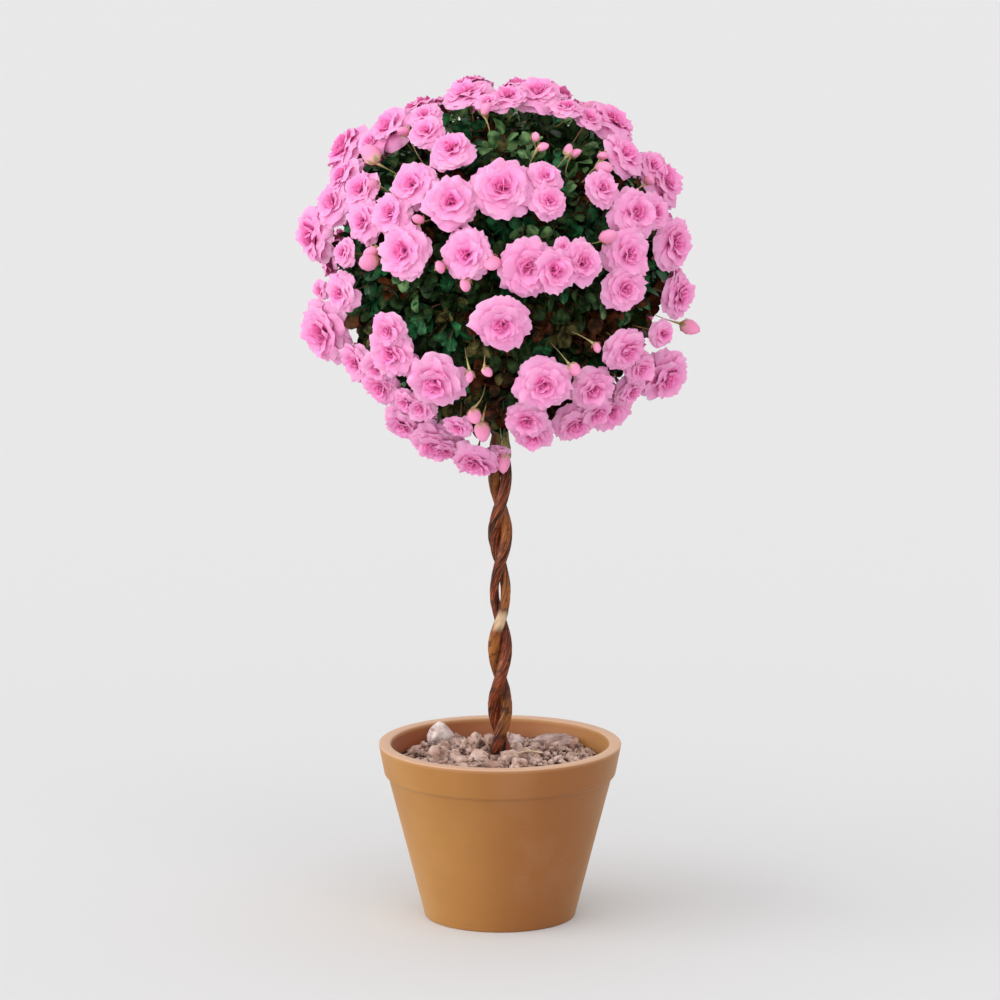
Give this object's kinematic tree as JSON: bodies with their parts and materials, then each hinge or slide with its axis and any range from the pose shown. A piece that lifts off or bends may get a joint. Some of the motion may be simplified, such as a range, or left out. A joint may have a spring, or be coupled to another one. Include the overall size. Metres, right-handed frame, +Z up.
{
  "type": "lollipop topiary in a pot",
  "caption": "Potted plant trained as a standard: a clipped ball of leaves set with ruffled pink blossom, on a tall stem of twined shoots, in a tapered clay pot.",
  "frame": {"origin": "middle of the pot's flat underside, on the floor", "axes": "+Z up along the stem; the side of the plant that is shown faces -Y; +X is to the right as seen from there"},
  "size_m": [0.4168, 0.4202, 0.9164],
  "materials": {
    "pot": "unglazed tan clay, matt",
    "soil": "dry pinkish-brown lumps of soil",
    "stones": "pale rough stone",
    "stem_bark": "smooth red-brown bark with pale streaks",
    "stem_union": "young yellow-green bark",
    "leaves": "dark green and bronze leaves",
    "blossom": "soft pink petals"
  },
  "bodies": {
    "root": {"pot": "pot", "soil": "soil", "stone_pointed": "stones", "stone_slab": "stones", "stem_shoot_1": "stem_bark", "stem_shoot_2": "stem_bark", "stem_union": "stem_union", "leaf_ball": "leaves", "blossom_below_left": "blossom", "blossom_below_middle": "blossom", "blossom_below_right": "blossom", "blossom_brow_left": "blossom", "blossom_brow_pair": "blossom", "blossom_brow_right": "blossom", "blossom_cheek_inner_left": "blossom", "blossom_cheek_left": "blossom", "blossom_cheek_right": "blossom", "blossom_crest_edge": "blossom", "blossom_crest_left": "blossom", "blossom_crest_right": "blossom", "blossom_hem_bottom": "blossom", "blossom_hem_left": "blossom", "blossom_hem_middle": "blossom", "blossom_hem_right": "blossom", "blossom_lower_edge_left": "blossom", "blossom_lower_edge_right": "blossom", "blossom_lower_inner_right": "blossom", "blossom_lower_left": "blossom", "blossom_lower_right": "blossom", "blossom_shoulder_left": "blossom", "blossom_shoulder_right": "blossom", "blossom_side_left": "blossom", "blossom_side_lower_left": "blossom", "blossom_side_lower_right": "blossom", "blossom_side_right": "blossom", "blossom_side_upper_right": "blossom", "blossom_upper_inner_left": "blossom", "blossom_upper_inner_right": "blossom", "blossom_upper_left": "blossom", "blossom_upper_middle": "blossom", "blossom_upper_right": "blossom", "blossom_waist_inner_left": "blossom", "blossom_waist_inner_right": "blossom", "blossom_waist_left": "blossom", "blossom_waist_middle": "blossom", "blossom_waist_right": "blossom", "blossom_back_bottom_1": "blossom", "blossom_back_bottom_2": "blossom", "blossom_back_high_1": "blossom", "blossom_back_high_2": "blossom", "blossom_back_high_3": "blossom", "blossom_back_low_1": "blossom", "blossom_back_low_2": "blossom", "blossom_back_low_3": "blossom", "blossom_back_middle_1": "blossom", "blossom_back_middle_2": "blossom", "blossom_back_middle_3": "blossom", "blossom_back_middle_4": "blossom", "blossom_back_top_1": "blossom", "blossom_back_top_2": "blossom"}
  },
  "joints": []
}
